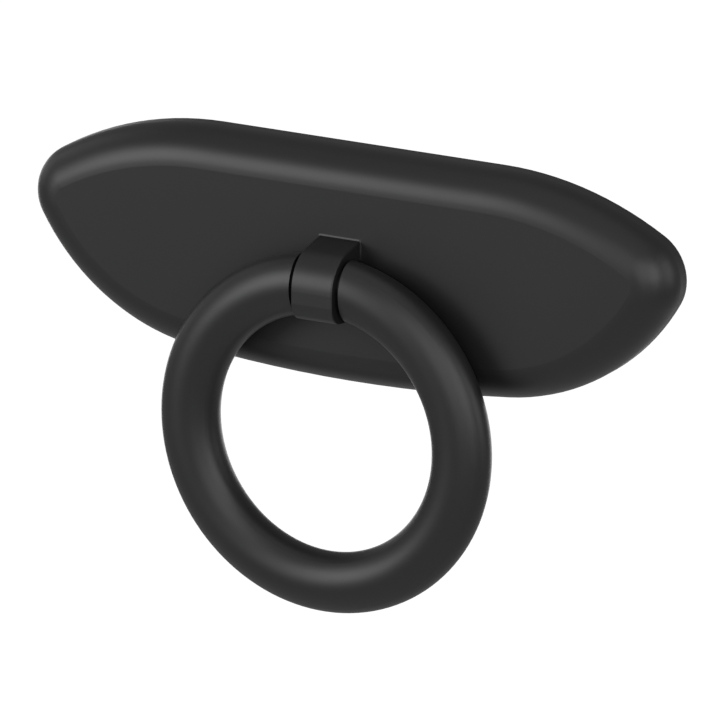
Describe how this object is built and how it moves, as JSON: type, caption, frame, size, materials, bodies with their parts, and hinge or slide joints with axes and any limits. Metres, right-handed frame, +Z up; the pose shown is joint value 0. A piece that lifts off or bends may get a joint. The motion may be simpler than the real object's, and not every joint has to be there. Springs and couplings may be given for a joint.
{
  "type": "ring pull",
  "caption": "Drop ring pull for a cabinet or drawer front: a matte black ring hangs from a strap on a boat-shaped backplate and swings out to be pulled.",
  "frame": {"origin": "mouth of the tapped hole, in the plane of the plate's back, level with the axis that the ring swings about", "axes": "+X along the plate to the right as the user faces it, +Y into the cabinet front, +Z up"},
  "size_m": [0.076, 0.0113, 0.0488],
  "materials": {
    "plate_coat": "matte black powder coat on cast zinc",
    "strap_coat": "matte black powder coat on steel",
    "ring_coat": "matte black powder coat on cast zinc"
  },
  "bodies": {
    "plate": {"backplate": "plate_coat", "strap": "strap_coat"},
    "ring": {"ring": "ring_coat"}
  },
  "joints": [
    {"name": "ring_swing", "type": "hinge", "parent": "plate", "child": "ring", "pos_m": [0, -0.0082, 0], "axis": [-1, 0, 0], "range_deg": [-1.2, 181]}
  ]
}
